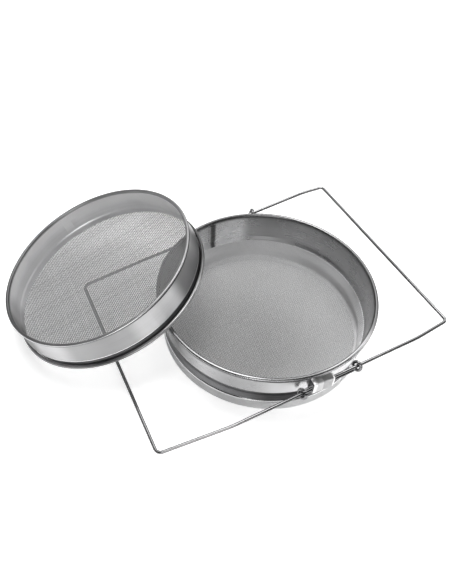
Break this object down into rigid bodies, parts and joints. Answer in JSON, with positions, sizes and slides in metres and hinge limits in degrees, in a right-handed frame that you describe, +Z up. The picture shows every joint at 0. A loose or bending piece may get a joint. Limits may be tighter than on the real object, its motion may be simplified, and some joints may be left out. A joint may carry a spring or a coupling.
{
  "type": "honey strainer",
  "caption": "Honey strainer with telescoping wire arms, the coarse strainer taken out and leaning on the rim of the fine one.",
  "frame": {"origin": "centre of the flat underside of the fine strainer's bowl, on the table", "axes": "+X to the right along the legs of the wire arms as seen from above, towards the right arm's crossbar; +Y towards the rear bracket; +Z up out of the bowl"},
  "size_m": [0.4204, 0.334, 0.1237],
  "materials": {
    "fine_band": "bright rolled sheet",
    "fine_rim_wire": "drawn wire",
    "fine_clamp_ring": "polished",
    "fine_mesh_wall": "woven wire cloth",
    "fine_mesh_floor": "woven wire cloth",
    "front_bracket": "polished",
    "rear_bracket": "polished",
    "coarse_band": "bright rolled sheet",
    "coarse_rim_wire": "drawn wire",
    "coarse_clamp_ring": "polished",
    "coarse_mesh": "woven wire cloth",
    "left_arm": "bright drawn wire",
    "right_arm": "bright drawn wire"
  },
  "bodies": {
    "fine_strainer": {"fine_band": "fine_band", "fine_rim_wire": "fine_rim_wire", "fine_clamp_ring": "fine_clamp_ring", "fine_mesh_wall": "fine_mesh_wall", "fine_mesh_floor": "fine_mesh_floor", "front_bracket": "front_bracket", "rear_bracket": "rear_bracket"},
    "coarse_strainer": {"coarse_band": "coarse_band", "coarse_rim_wire": "coarse_rim_wire", "coarse_clamp_ring": "coarse_clamp_ring", "coarse_mesh": "coarse_mesh"},
    "left_arm": {"left_arm": "left_arm"},
    "right_arm": {"right_arm": "right_arm"}
  },
  "joints": [
    {"name": "coarse_lift", "type": "slide", "parent": "fine_strainer", "child": "coarse_strainer", "axis": [0, 0, 1], "range_m": [0, 0.15]},
    {"name": "left_arm_slide", "type": "slide", "parent": "fine_strainer", "child": "left_arm", "axis": [0.9857, 0, 0.1685], "range_m": [-0.022, 0.05]},
    {"name": "right_arm_slide", "type": "slide", "parent": "fine_strainer", "child": "right_arm", "axis": [0.9857, 0, 0.1685], "range_m": [-0.0175, 0.003]}
  ]
}
